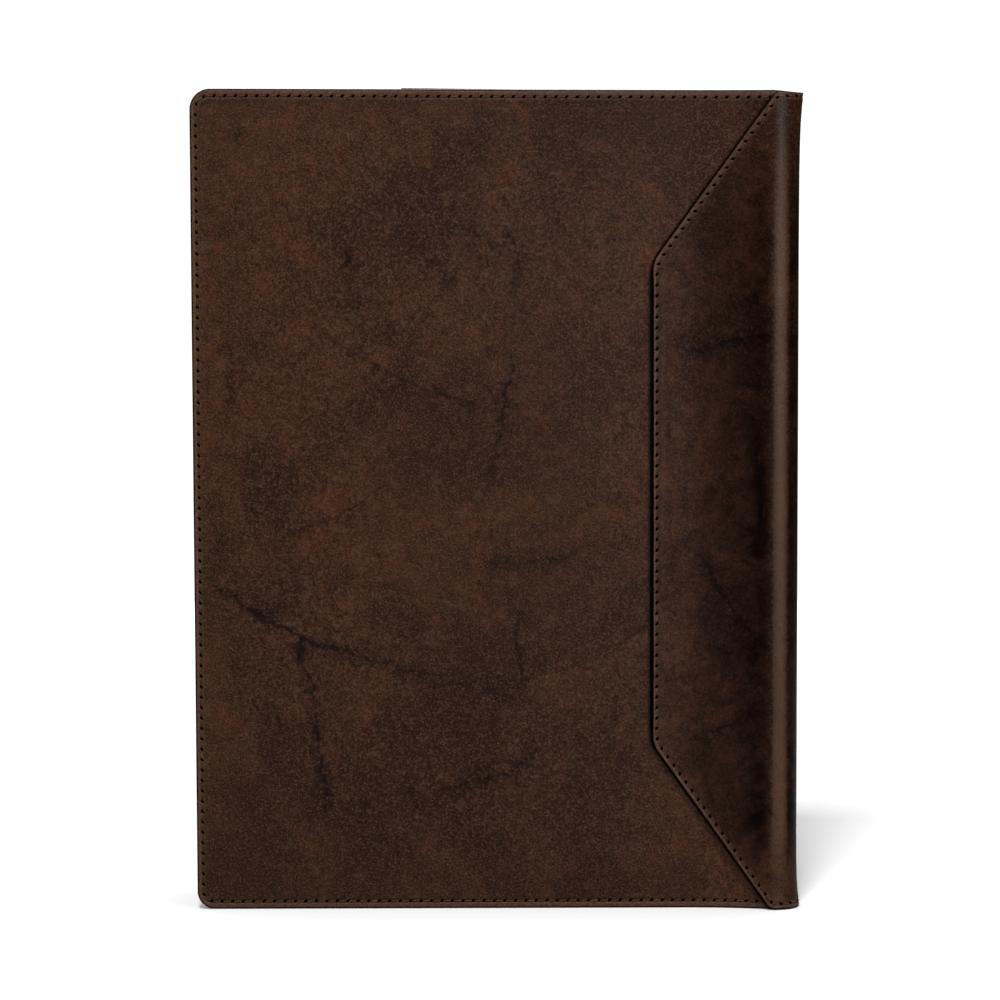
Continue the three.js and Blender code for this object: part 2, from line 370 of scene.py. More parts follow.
# Marks of the pocket's edges: half their width, and how far their two ends fade, in millimetres
PRESS_WIDTH = 1.3 * MM
PRESS_FADES = (2, 6)
PRESS_DEPTH = 0.06 * MM

# Burnished strip beside the edge, lit further by a painted reflection, groove tone, and the needle holes,
# which are ovals that lean a little and are painted black as the shade inside them
STRIP_REACH = (4.0 * MM, 2.4 * MM)
GROOVE_TONE_REACH = (0.95 * MM, 0.2 * MM)
HOLE_LEAN = 0.35
HOLE_OVAL = (0.7, 1.2)
HOLE_REACH = (0.68 * MM, 0.46 * MM)
HOLE_DIMPLE_REACH = (0.85 * MM, 0.3 * MM)
HOLE_DEPTH = 0.6 * MM
HOLE_SHADE_BLACK = (0.0006, 0.0004, 0.0004, 1)
EDGE_BLACK = (0.0012, 0.0008, 0.0007, 1)
NAP = {"size": 1.7 * MM, "detail": 3.0, "distortion": 0.5, "roughness": 0.75}
FLESH_LOW = (0.030, 0.016, 0.010, 1)
FLESH_HIGH = (0.105, 0.062, 0.040, 1)
HIDE_SPECULAR = 0.15
HIDE_ROUGHNESS = {"least": 0.3, "mottle": 0.16, "painted_fold_light": -0.05, "hole": 0.4, "flesh": 0.3}


def vein_marks(shade, place, raggedness, veins):
    """Core and sooty fringe of the veins, each a line of (across, height, strength) points. A point of
    the cover takes the strongest mark: strength, sliding along each stretch, times the fall-off from it."""
    flat = shade.vector("MULTIPLY", place, (1, 0, 1))
    core = fringe = None
    for vein in veins:
        for begin, end in zip(vein, vein[1:]):
            start = Vector((begin[0], 0, begin[1])) * MM
            step = Vector((end[0], 0, end[1])) * MM - start
            from_start = shade.vector("SUBTRACT", flat, start)
            reached = shade.vector("DOT_PRODUCT", from_start, step, output="Value")
            share = reached * (1 / step.length_squared)
            held = share.math("MINIMUM", share.math("MAXIMUM", share, 0.0), 1.0)
            foot = shade.node("ShaderNodeVectorMath", {"operation": "SCALE"}, {0: step, "Scale": held})
            distance = shade.vector("DISTANCE", from_start, foot, output="Value") * raggedness
            strength = held * (end[2] - begin[2]) + begin[2]
            line = distance.ramp(VEIN_WIDTH, 0.0) * strength
            soot = distance.ramp(SOOT_WIDTH, SOOT_START) * strength
            core = line if core is None else core.math("MAXIMUM", core, line)
            fringe = soot if fringe is None else fringe.math("MAXIMUM", fringe, soot)
    return core, fringe


def leather(name, tones, veins=(), press_lines=(), gloss=0.0, fine=1.0, broad=1.0):
    """Oiled leather. tones has its dark, body, warm, worn_and_highlight and rim colours. The pattern lies
    in space: clouds, marbling, mottle, creases, grain and scratches; broad and fine scale the coats of
    that kind, and gloss takes off roughness. The sheet's own fields give the painted edge, the burnished
    strip with a painted reflection on it, the painted shade and highlight of the fold, the needle holes
    painted black as their shade, and the inner face."""
    material = bpy.data.materials.new(name)
    material.use_nodes = True
    tree = material.node_tree
    surface = tree.nodes["Principled BSDF"]
    shade = Shade(tree)
    place = shade.node("ShaderNodeTexCoord", output="Object")
    wobbled = shade.wobble(place, place, **WANDER)
    hide = {
        title: shade.noise(wobbled if title in WANDERING else place, **noise)
        for title, noise in HIDE_NOISES.items()
    }
    hide["crease"] = shade.math("ABSOLUTE", hide["wrinkle"] - 0.5)
    clouds, marbling, mottle = hide["clouds"], hide["marbling"], hide["mottle"]
    speckle, smoke = hide["speckle"], hide["smoke"]

    masks = {"cloudy": clouds.ramp(0.4, 0.6), "mottled": mottle.ramp(0.42, 0.62)}
    masks["warm"] = marbling.ramp(0.5, 0.66) * masks["cloudy"]
    masks["patchy"] = mottle.ramp(0.62, 0.4) * 0.6 + 0.25 * broad
    strengths = {"broad": broad, "fine": fine, "even": 1.0}
    colour = clouds.ramp(0.38, 0.64).tint(tones["dark"], tones["body"])
    for coat in HIDE_COATS:
        share = coat["share"] * strengths[coat.get("kind", "even")]
        amount = hide[coat["noise"]].ramp(coat["start"], coat["end"]) * share
        if "mask" in coat:
            amount = amount * masks[coat["mask"]]
        colour = amount.tint(colour, tones[coat["tone"]])
    relief = sum(hide[title] * depth for title, depth in RELIEF_DEPTHS.items())
    roughness = HIDE_ROUGHNESS["least"] + mottle * HIDE_ROUGHNESS["mottle"] - gloss

    for scratch in SCRATCHES:
        lengths = (scratch["width"] * MM, SCRATCH_DEPTH * MM, scratch["run"] * MM)
        sockets = {"Vector": wobbled, "Rotation": (0, scratch["turn"], 0)}
        sockets["Scale"] = tuple(1 / length for length in lengths)
        stretched = shade.node("ShaderNodeMapping", None, sockets)
        streaks = shade.noise(stretched, 2.5, 2.0)
        scratched = streaks.ramp(0.68, 0.78) * marbling.ramp(0.5, 0.62)
        colour = (scratched * SCRATCH_SHARE).tint(colour, tones["worn_and_highlight"])

    if veins:
        frayed = shade.wobble(wobbled, place, **VEIN_FRAY)
        core, fringe = vein_marks(shade, frayed, smoke.ramp(0.34, 0.62) * 1.6 + 0.55, veins)
        soot = fringe * (speckle.ramp(0.62, 0.36) * 0.55 + smoke.ramp(0.6, 0.4) * 0.45)
        core = core * (mottle.ramp(0.66, 0.4) * 0.4 + 0.6)
        colour = ((core + soot) * VEIN_SHARE).tint(colour, tones["rim"])
    if press_lines:
        across, _, upward = shade.parts(place)
        for left, right, height in press_lines:
            from_line = upward.math("ABSOLUTE", upward - height * MM)
            begins = across.ramp((left - PRESS_FADES[0]) * MM, left * MM)
            ends = across.ramp((right + PRESS_FADES[1]) * MM, right * MM)
            pressed = from_line.ramp(PRESS_WIDTH, 0.0) * begins * ends * mottle.ramp(0.3, 0.6)
            relief = relief - pressed * PRESS_DEPTH
            colour = (pressed * 0.3).tint(colour, tones["dark"])

    # Painted shade in the hollow before the crest and down the spine's side, broken up by noise, and a
    # painted highlight on the crest.
    painted_fold_light = shade.field("painted_fold_light")
    shade_breakup = marbling.ramp(0.34, 0.62) * 0.42 + clouds.ramp(0.62, 0.4) * 0.22
    painted_shade = painted_fold_light.math("MAXIMUM", painted_fold_light, 0.0) * (1.15 - shade_breakup)
    painted_highlight = shade.math("MAXIMUM", painted_fold_light * -1.0, 0.0) * (0.7 + mottle * 0.6)
    colour = painted_shade.tint(colour, tones["rim"])
    colour = painted_highlight.tint(colour, tones["worn_and_highlight"])
    roughness = roughness + painted_fold_light * HIDE_ROUGHNESS["painted_fold_light"]

    along, across, _ = shade.parts(shade.node("ShaderNodeUVMap", {"uv_map": "seam"}))
    # Lighter strip beside the edge: burnished leather, and a painted reflection of the rounded edge on top
    # of it.
    strip = shade.field("from_edge").ramp(*STRIP_REACH)
    colour = (strip * (speckle.ramp(0.3, 0.7) * 0.5 + 0.4)).tint(colour, tones["worn_and_highlight"])
    groove = across.math("ABSOLUTE", across).ramp(*GROOVE_TONE_REACH)
    colour = (groove * 0.45).tint(colour, tones["dark"])
    from_hole = (along.math("FRACT", along) - 0.5) * STITCH_PITCH
    leaning = across + from_hole * HOLE_LEAN
    squares = from_hole * from_hole * HOLE_OVAL[0] + leaning * leaning * HOLE_OVAL[1]
    hole_reach = squares.math("SQRT", squares)
    hole = hole_reach.ramp(*HOLE_REACH)
    # The needle holes are painted black as the shade inside them.
    colour = hole.tint(colour, HOLE_SHADE_BLACK)
    relief = relief - hole_reach.ramp(*HOLE_DIMPLE_REACH) * HOLE_DEPTH
    roughness = roughness + hole * HIDE_ROUGHNESS["hole"]

    painted = (shade.field("edge_band") + (mottle - 0.5) * 0.4).ramp(1.15, 0.85)
    colour = painted.tint(colour, EDGE_BLACK)
    # A nearly black metal mirrors almost nothing, so the painted edge, the painted shade of the fold and
    # the holes stay dark.
    black_metal = painted.math("MAXIMUM", painted * 0.85, painted_shade * 0.55)
    black_metal = hole.math("MAXIMUM", hole, black_metal)
    tree.links.new(black_metal.socket, surface.inputs["Metallic"])

    inner_face = shade.field("inner_face")
    flesh = shade.noise(place, **NAP).tint(FLESH_LOW, FLESH_HIGH)
    colour = (inner_face * (1 - painted) * (1 - hole)).tint(colour, flesh)
    roughness = roughness + inner_face * HIDE_ROUGHNESS["flesh"]

    tree.links.new(colour.socket, surface.inputs["Base Color"])
    tree.links.new(roughness.socket, surface.inputs["Roughness"])
    bump = shade.node("ShaderNodeBump", None, {"Height": relief, "Distance": 1.0, "Strength": 1.0})
    tree.links.new(bump.socket, surface.inputs["Normal"])
    surface.inputs["Specular IOR Level"].default_value = HIDE_SPECULAR
    return material


PANEL_TONES = {
    "rim": (0.0065, 0.0021, 0.0012, 1),
    "dark": (0.0190, 0.0062, 0.0028, 1),
    "body": (0.0410, 0.0150, 0.0078, 1),
    "warm": (0.0670, 0.0180, 0.0086, 1),
    "worn_and_highlight": (0.0880, 0.0450, 0.0240, 1),
}

# Veins of the hide as (across, height, strength), and the pocket's edges pressed through it as
# (left, right, height), in millimetres
BACK_VEINS = [
    [(-114.0, 129.5, 0.7), (-72.5, 106.0, 1.0), (-48.8, 99.3, 0.6)],
    [(-48.8, 99.3, 0.6), (-22.5, 93.0, 0.45), (11.8, 82.4, 0.5), (22.0, 69.4, 0.2)],
    [(-77.5, 104.7, 0.8), (-72.4, 79.5, 0.7), (-66.9, 48.0, 0.9), (-69.7, 32.2, 0.2)],
    [(-82.7, 237.0, 0.1), (-48.8, 216.2, 0.4), (-11.8, 200.4, 0.5), (19.7, 187.4, 0.1)],
    [(5.1, 219.0, 0.6), (3.9, 200.4, 0.9), (-2.8, 176.8, 0.5), (-3.9, 170.1, 0.1)],
    [(-11.8, 268.7, 0.5), (7.9, 260.8, 0.6), (14.2, 255.7, 0.2)],
    [(10.2, 121.7, 0.3), (7.9, 105.9, 0.7), (9.1, 85.0, 0.7), (14.2, 81.1, 0.3)],
    [(22.0, 66.5, 0.4), (3.9, 53.5, 0.8), (-22.4, 47.2, 0.5), (-38.2, 46.1, 0.1)],
    [(40.6, 103.2, 0.3), (59.1, 112.6, 0.4)],
    [(-62.6, 268.8, 0.2), (-58.4, 256.5, 0.8)],
    [(-37.7, 268.8, 0.3), (-29.1, 260.0, 0.7), (-15.3, 247.8, 0.5)],
    [(2.0, 293.3, 0.5), (6.5, 282.8, 0.4)],
    [(3.7, 268.8, 0.8), (8.9, 260.0, 0.6), (6.5, 230.3, 0.2)],
    [(-105.0, 239.0, 0.5), (-102.6, 198.7, 0.5)],
    [(-79.1, 149.6, 0.4), (-53.2, 161.9, 0.6)],
    [(-4.9, 137.4, 0.5), (22.7, 140.2, 0.4)],
    [(-89.5, 58.5, 0.5), (-86.0, 76.0, 0.3)],
]
PRESS_LINES = [(-36.8, -25.7, 317.0), (-36.8, 56.3, 313.0)]

panel_corners = [
    (0, SPINE_HEIGHT, 0),
    (PANEL_REACH, FORE_EDGE_HEIGHT, TOP_CORNER_RADIUS),
    (PANEL_REACH, 0, BOTTOM_CORNER_RADIUS),
    (0, 0, 0),
]
panel_outline = rounded_path(panel_corners)
panel_seam = rounded_path(inset_corners(panel_corners, PANEL_SEAM_INSETS))
panel_seam_length = np.linalg.norm(np.diff(panel_seam, axis=0), axis=1).sum()
panel_stitches = int(round(panel_seam_length / STITCH_PITCH))


def panel_sheet(name, side, facing):
    """A cover: columns from the fore-edge to the spine, each between the outline's low and high edge.
    Outside: the panel's depth with rounded edge, dome and groove. Inside: that depth less the leather."""
    middle = np.arange(EDGE_STATIONS[-1], PANEL_REACH - SHOULDER_REACH, GRID_STEP)
    crowded = np.linspace(1, 0, SHOULDER_COLUMNS) ** SHOULDER_CROWDING
    shoulder = PANEL_REACH - SHOULDER_REACH * crowded
    reach = (PANEL_REACH - np.concatenate([EDGE_STATIONS[:-1], middle, shoulder]))[::facing]
    low, high = edge_limits(reach, panel_outline, FORE_EDGE_HEIGHT / 2)
    height = grid_heights(low, high, graded(EDGE_STATIONS, FORE_EDGE_HEIGHT, GRID_STEP))
    reach = reach[:, None] + 0 * height
    along, across = seam_coordinates(reach, height, panel_seam)
    from_edge = np.maximum(-seam_coordinates(reach, height, panel_outline)[1], 0)
    lost = edge_loss(from_edge, PANEL_EDGE_ROUND)
    relief = seam_relief(from_edge, across)
    face = panel_face(reach, height)
    outer = place(side["away"], side["out"], reach, face - lost + relief, height)
    inside = face - PANEL_LEATHER + lost - INSIDE_RELIEF * relief
    inner = place(side["away"], side["out"], reach, inside, height)
    seam = (along / panel_seam_length * panel_stitches, across)
    fields = {"from_edge": from_edge, "edge_band": from_edge / PANEL_EDGE_PAINT}
    return closed_sheet(name, outer, inner, seam, fields)


back_panel = panel_sheet("back_panel_leather", BACK_SIDE, 1)
panel_leather = leather("panel_leather", PANEL_TONES, BACK_VEINS, PRESS_LINES)
back_panel.data.materials.append(panel_leather)
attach(back_panel, "root")
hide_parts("back_panel")


# Front panel
# The other cover, cut from the same hide and stitched the same way, opened away behind the back panel.
# Its leather carries no pocket, so nothing presses through it.

FRONT_VEINS = [
    [(52.0, 238.0, 0.3), (34.0, 214.0, 0.7), (5.0, 201.0, 0.5), (-31.0, 196.0, 0.2)],
    [(30.0, 209.0, 0.5), (24.0, 176.0, 0.6), (31.0, 152.0, 0.2)],
    [(-96.0, 92.0, 0.3), (-64.0, 104.0, 0.8), (-38.0, 99.0, 0.5), (-12.0, 112.0, 0.2)],
    [(-61.0, 101.0, 0.5), (-57.0, 74.0, 0.6), (-49.0, 58.0, 0.2)],
    [(-78.0, 262.0, 0.2), (-70.0, 281.0, 0.7)],
    [(2.0, 62.0, 0.3), (15.0, 47.0, 0.6), (38.0, 44.0, 0.2)],
]

front_panel = panel_sheet("front_panel_leather", FRONT_SIDE, -1)
front_panel.data.materials.append(leather("front_leather", PANEL_TONES, FRONT_VEINS))
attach(front_panel, "root")
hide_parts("front_panel")


# Spine wrap
# A softer, darker piece of leather rolled round the spine and lapped over both covers as a trapezoid.
# Its cut edge is bevelled and painted black, wider along the straight edges as a painted shadow, and a
# saddle stitch runs all round inside that edge. Its colour carries painted shade beside the crest and
# down the spine's side, and a painted highlight on the crest.

LAP_REACH = 48.4 * MM
LAP_CORNER_RADIUS = 14.0 * MM
LAP_UPPER_CORNER = 255.7 * MM
LAP_LOWER_CORNER = 66.1 * MM
LAP_TOP_REACH = 0.2 * MM
LAP_BOTTOM_REACH = 1.6 * MM
WRAP_END_RADIUS = 1.0 * MM
WRAP_SEAM_INSET = 2.5 * MM
WRAP_EDGE_ROUND = 0.95 * MM
WRAP_EDGE_SETTLE = 0.2 * MM
WRAP_INNER_LOSS = 0.25
WRAP_EDGE_PAINT_AND_SHADOW = 1.35 * MM
SLOPE_SHADOW_LESS = 0.5 * MM
SLOPE_START = 85 * MM
SLOPE_BLEND = 12 * MM
LAP_COLUMNS = np.concatenate([EDGE_STATIONS, MM * np.arange(9.3, 48, 1.7)])
WRAP_ROW_STATIONS = np.concatenate([EDGE_STATIONS, MM * np.array([8.4, 9.6])])
ROLL_COLUMNS = 33
CREST_DIP = 1.0 * MM
CREST_DIP_WIDTH = 13.0 * MM
SPINE_FLARE = [
    {"from_end": 0, "top": 1.7, "bottom": 1.4},
    {"from_end": 4, "top": 1.4, "bottom": 1.05},
    {"from_end": 8, "top": 1.1, "bottom": 0.7},
    {"from_end": 13, "top": 0.75, "bottom": 0.42},
    {"from_end": 20, "top": 0.5, "bottom": 0.28},
    {"from_end": 32, "top": 0.3, "bottom": 0.2},
    {"from_end": 60, "top": 0.2, "bottom": 0.2},
]

# Painted light at a distance from the fold, in millimetres: above 0 painted shade, below 0 a painted
# highlight
PAINTED_FOLD_LIGHT = [
    {"from_fold": -37, "share": 0.0},
    {"from_fold": -28.5, "share": 0.4},
    {"from_fold": -21, "share": 0.5},
    {"from_fold": -13, "share": 0.66},
    {"from_fold": -6, "share": 1.0},
    {"from_fold": -2.2, "share": 0.75},
    {"from_fold": 0, "share": -0.35},
    {"from_fold": 3.5, "share": -0.6},
    {"from_fold": 5.2, "share": -0.15},
    {"from_fold": 6.4, "share": 0.85},
    {"from_fold": 15, "share": 0.85},
]
PAINTED_FOLD_LIGHT_LOW_FADE = 40 * MM
PAINTED_FOLD_LIGHT_HIGH_FADE = 60 * MM
BACK_ARC = SPINE_RADIUS * math.pi / 2
FRONT_ARC = SPINE_RADIUS * (math.pi / 2 - SPREAD)

wrap_corners = [
    (0, SPINE_HEIGHT, 0),
    (FRONT_ARC + LAP_TOP_REACH, SPINE_HEIGHT, WRAP_END_RADIUS),
    (FRONT_ARC + LAP_REACH, LAP_UPPER_CORNER, LAP_CORNER_RADIUS),
    (FRONT_ARC + LAP_REACH, LAP_LOWER_CORNER, LAP_CORNER_RADIUS),
    (FRONT_ARC + LAP_BOTTOM_REACH, 0, WRAP_END_RADIUS),
    (-BACK_ARC - LAP_BOTTOM_REACH, 0, WRAP_END_RADIUS),
    (-BACK_ARC - LAP_REACH, LAP_LOWER_CORNER, LAP_CORNER_RADIUS),
    (-BACK_ARC - LAP_REACH, LAP_UPPER_CORNER, LAP_CORNER_RADIUS),
    (-BACK_ARC - LAP_TOP_REACH, SPINE_HEIGHT, WRAP_END_RADIUS),
    (0, SPINE_HEIGHT, 0),
]
wrap_outline = rounded_path(wrap_corners)
wrap_seam = rounded_path(inset_corners(wrap_corners, [WRAP_SEAM_INSET] * (len(wrap_corners) - 1)))
wrap_seam_length = np.linalg.norm(np.diff(wrap_seam, axis=0), axis=1).sum()
wrap_stitches = int(round(wrap_seam_length / STITCH_PITCH))


def spine_flare(height):
    """Outward flare of the spine's leather near its two ends, read from the table."""
    from_end = MM * np.array([row["from_end"] for row in SPINE_FLARE])
    top = MM * np.array([row["top"] for row in SPINE_FLARE])
    bottom = MM * np.array([row["bottom"] for row in SPINE_FLARE])
    return np.interp(SPINE_HEIGHT - height, from_end, top) + np.interp(height, from_end, bottom)


def wrap_place(around, height, lift):
    """Points of the wrap from the way round it, 0 at the crest: past each quarter turn the rest of the
    way is reach along a cover, and between them the way out turns with the arc."""
    turn = np.clip(around / SPINE_RADIUS, -math.pi / 2, math.pi / 2 - SPREAD)
    reach = np.where(around < 0, -around - BACK_ARC, around - FRONT_ARC)
    reach = np.maximum(reach, 0)
    away = [np.where(around < 0, BACK_SIDE["away"][k], FRONT_SIDE["away"][k]) for k in (0, 1)]
    out = [np.cos(turn), np.sin(turn)]
    depth = wrap_face(reach, height) + spine_flare(height) * np.maximum(out[0], 0) ** 2 + lift
    return place(away, out, reach, depth, height)


def wrap_sheet(name):
    """The wrap: columns from one lap's straight edge round the spine to the other's, fine beside both
    edges; rows between the outline's low and high edge, fine beside them."""
    back = -BACK_ARC - LAP_REACH + LAP_COLUMNS
    front = FRONT_ARC + LAP_REACH - LAP_COLUMNS
    roll = SPINE_RADIUS * np.linspace(-math.pi / 2, math.pi / 2 - SPREAD, ROLL_COLUMNS)
    around = np.concatenate([back, roll, front[::-1]])
    low, high = edge_limits(around, wrap_outline, FORE_EDGE_HEIGHT / 2)
    high = high - CREST_DIP * np.exp(-((around / CREST_DIP_WIDTH) ** 4))
    height = grid_heights(low, high, graded(WRAP_ROW_STATIONS, SPINE_HEIGHT, GRID_STEP))
    around = around[:, None] + 0 * height
    along, across = seam_coordinates(around, height, wrap_seam)
    from_edge = np.maximum(WRAP_SEAM_INSET - across, 0)
    lost = edge_loss(from_edge, WRAP_EDGE_ROUND)
    relief = seam_relief(from_edge, across)
    outer = wrap_place(around, height, relief - lost)
    inner = wrap_place(around, height, WRAP_INNER_LOSS * lost - WRAP_LEATHER - WRAP_EDGE_SETTLE)
    # The black band stands for the edge paint and, wider along the straight edges, for a painted shadow.
    from_middle = np.abs(height - (LAP_UPPER_CORNER + LAP_LOWER_CORNER) / 2)
    band = WRAP_EDGE_PAINT_AND_SHADOW - SLOPE_SHADOW_LESS * ease((from_middle - SLOPE_START) / SLOPE_BLEND)
    from_fold = np.where(around < 0, around + BACK_ARC, FRONT_ARC - around)
    # Painted shade beside the crest and down the spine's side, and a painted highlight on the crest, by the
    # distance from the fold
    places = MM * np.array([row["from_fold"] for row in PAINTED_FOLD_LIGHT])
    painted_fold_light = np.interp(from_fold, places, [row["share"] for row in PAINTED_FOLD_LIGHT])
    painted_fold_light = painted_fold_light * ease(height / PAINTED_FOLD_LIGHT_LOW_FADE) * ease((SPINE_HEIGHT - height) / PAINTED_FOLD_LIGHT_HIGH_FADE)
    fields = {"from_edge": from_edge, "edge_band": from_edge / band, "painted_fold_light": painted_fold_light}
    seam = (along / wrap_seam_length * wrap_stitches, across)
    return closed_sheet(name, outer, inner, seam, fields)


WRAP_TONES = {
    "rim": (0.0042, 0.0012, 0.0006, 1),
    "dark": (0.0150, 0.0048, 0.0022, 1),
    "body": (0.0390, 0.0148, 0.0070, 1),
    "warm": (0.0620, 0.0180, 0.0070, 1),
    "worn_and_highlight": (0.0860, 0.0430, 0.0250, 1),
}
WRAP_VEINS = [
    [(74.5, 221.5, 0.5), (92.0, 224.0, 1.0), (106.0, 225.5, 0.9), (115.0, 225.0, 0.4)],
    [(79.7, 142.6, 0.5), (88.0, 126.7, 0.8), (97.6, 110.9, 0.9)],
    [(74.5, 106.0, 0.3), (92.0, 101.0, 0.5)],
    [(78.0, 66.0, 0.3), (88.0, 71.5, 0.9), (101.0, 80.0, 0.5)],
    [(84.0, 186.0, 0.2), (96.0, 178.0, 0.6)],
    [(90.0, 148.0, 0.3), (103.0, 152.0, 0.6)],
]

spine_wrap = wrap_sheet("spine_wrap_leather")
wrap_leather = leather("wrap_leather", WRAP_TONES, WRAP_VEINS, gloss=0.04, fine=0.62, broad=1.45)
spine_wrap.data.materials.append(wrap_leather)
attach(spine_wrap, "root")
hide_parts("spine_wrap")


# Inner pocket
# A thin sheet on the inside of the back panel, open at its mouth. It stands a little proud of the top
# edge, where its greyed cut edge shows.

POCKET_LEATHER = 1.2 * MM
POCKET_MOUTH_REACH = 145.5 * MM
POCKET_CLOSED_REACH = 6.0 * MM
POCKET_PROUD = 0.6 * MM
POCKET_PROUD_LENGTH = 56.0 * MM
POCKET_SLACK = 0.8 * MM
POCKET_EDGE_ROUND = 0.35 * MM
POCKET_EDGE_STATIONS = EDGE_STATIONS[:10]
POCKET_COLUMN_STEP = 3 * MM
POCKET_ROW_STEP = 4 * MM
FAR_FROM_SEAM = -20 * MM
UNPAINTED = 2
POCKET_TONES = {
    "rim": (0.020, 0.014, 0.012, 1),
    "dark": (0.040, 0.028, 0.022, 1),
    "body": (0.085, 0.062, 0.050, 1),
    "warm": (0.100, 0.062, 0.044, 1),
    "worn_and_highlight": (0.180, 0.150, 0.130, 1),
}


def pocket_sheet(name):
    """The pocket: columns from its mouth to its closed side, a panel's depth less the panel, the gap
    and a slack that grows towards the mouth. Its top edge rises above the panel's in a straight line."""
    width = POCKET_MOUTH_REACH - POCKET_CLOSED_REACH
    share, offset = graded(POCKET_EDGE_STATIONS, width, POCKET_COLUMN_STEP)
    reach = POCKET_MOUTH_REACH - share * width - offset
    top = SPINE_HEIGHT + (FORE_EDGE_HEIGHT - SPINE_HEIGHT) * reach / PANEL_REACH
    proud = POCKET_PROUD * (1 - (POCKET_MOUTH_REACH - reach) / POCKET_PROUD_LENGTH)
    high = top + np.maximum(proud, -PIECE_GAP)
    low = PIECE_GAP + 0 * high
    height = grid_heights(low, high, graded(POCKET_EDGE_STATIONS, FORE_EDGE_HEIGHT, POCKET_ROW_STEP))
    from_top = high[:, None] - height
    reach = reach[:, None] + 0 * height
    from_edge = np.minimum(np.minimum(from_top, height - PIECE_GAP), POCKET_MOUTH_REACH - reach)
    from_edge = np.minimum(from_edge, reach - POCKET_CLOSED_REACH)
    lost = edge_loss(np.maximum(from_edge, 0), POCKET_EDGE_ROUND)
    open_share = (reach - POCKET_CLOSED_REACH) / width
    slack = POCKET_SLACK * open_share * np.sin(np.pi * np.clip(height / FORE_EDGE_HEIGHT, 0, 1))
    face = panel_face(reach, height) - PANEL_LEATHER - PIECE_GAP - slack
    outer = place(BACK_SIDE["away"], BACK_SIDE["out"], reach, face - lost, height)
    inner = place(BACK_SIDE["away"], BACK_SIDE["out"], reach, face - POCKET_LEATHER + lost, height)
    fields = {"from_edge": from_edge, "edge_band": UNPAINTED + 0 * height}
    return closed_sheet(name, outer, inner, (0 * height, FAR_FROM_SEAM + 0 * height), fields)


inner_pocket = pocket_sheet("inner_pocket_leather")
inner_pocket.data.materials.append(leather("pocket_leather", POCKET_TONES))
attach(inner_pocket, "root")
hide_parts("inner_pocket")


# Seam thread
# Waxed brown linen in a saddle stitch: each stitch lies in the groove, leans a little across the seam
# and goes down into a needle hole at both ends.

THREAD_RADIUS = 0.36 * MM
THREAD_LEAN = 0.24 * MM
THREAD_RISE = 0.12 * MM
THREAD_DIP = 0.75 * MM
THREAD_DIP_POWER = 6
THREAD_THINNING = 0.45
THREAD_RINGS = 7
THREAD_SIDES = 6
WAY_STEP = 0.4 * MM
PLIES = 2
PLY_TURNS = 3.0
PLY_DEPTH = 0.04 * MM
THREAD_WEAR = {"size": 2.6 * MM, "detail": 4.0}
THREAD_ROUGHNESS = 0.42
WEAR_ROUGHNESS = 0.25
THREAD_SPECULAR = 0.12
THREAD_DARK = (0.0130, 0.0055, 0.0031, 1)
THREAD_BROWN = (0.0600, 0.0280, 0.0165, 1)
THREAD_WAX = (0.1400, 0.0820, 0.0520, 1)


def path_point(path, along):
    """Points of a path at lengths along it, and the unit way to its left at each."""
    step = np.diff(path, axis=0)
    begun = np.concatenate([[0], np.cumsum(np.linalg.norm(step, axis=1))])
    at = np.stack([np.interp(along, begun, path[:, k]) for k in (0, 1)], axis=-1)
    ahead = np.stack([np.interp(along + WAY_STEP, begun, path[:, k]) for k in (0, 1)], axis=-1)
    behind = np.stack([np.interp(along - WAY_STEP, begun, path[:, k]) for k in (0, 1)], axis=-1)
    way = ahead - behind
    way /= np.linalg.norm(way, axis=-1, keepdims=True)
    return at, np.stack([-way[..., 1], way[..., 0]], axis=-1)


def saddle_stitches(path, length, count, surface):
    """Points of all stitches of a seam, (stitch, ring, side, 3): a ring of points about a line that runs
    from one hole to the next and dips at both ends. surface turns (across, height, lift) into points."""
    ring = np.linspace(0, 1, THREAD_RINGS)[None, :, None]
    angle = (2 * np.pi * np.arange(THREAD_SIDES) / THREAD_SIDES)[None, None, :]
    number = np.arange(count - 1)[:, None, None]
    along = (number + 0.5 + ring) * length / count + 0 * angle
    end_dip = (2 * ring - 1) ** THREAD_DIP_POWER
    radius = THREAD_RADIUS * (1 - THREAD_THINNING * end_dip)
    sideways = THREAD_LEAN * (1 - 2 * ring) + radius * np.cos(angle)
    lift = THREAD_RISE - THREAD_DIP * end_dip + radius * np.sin(angle) - GROOVE_DEPTH
    at, left = path_point(path, along)
    spot = at + left * (sideways + 0 * along)[..., None]
    return surface(spot[..., 0], spot[..., 1], lift + 0 * along)


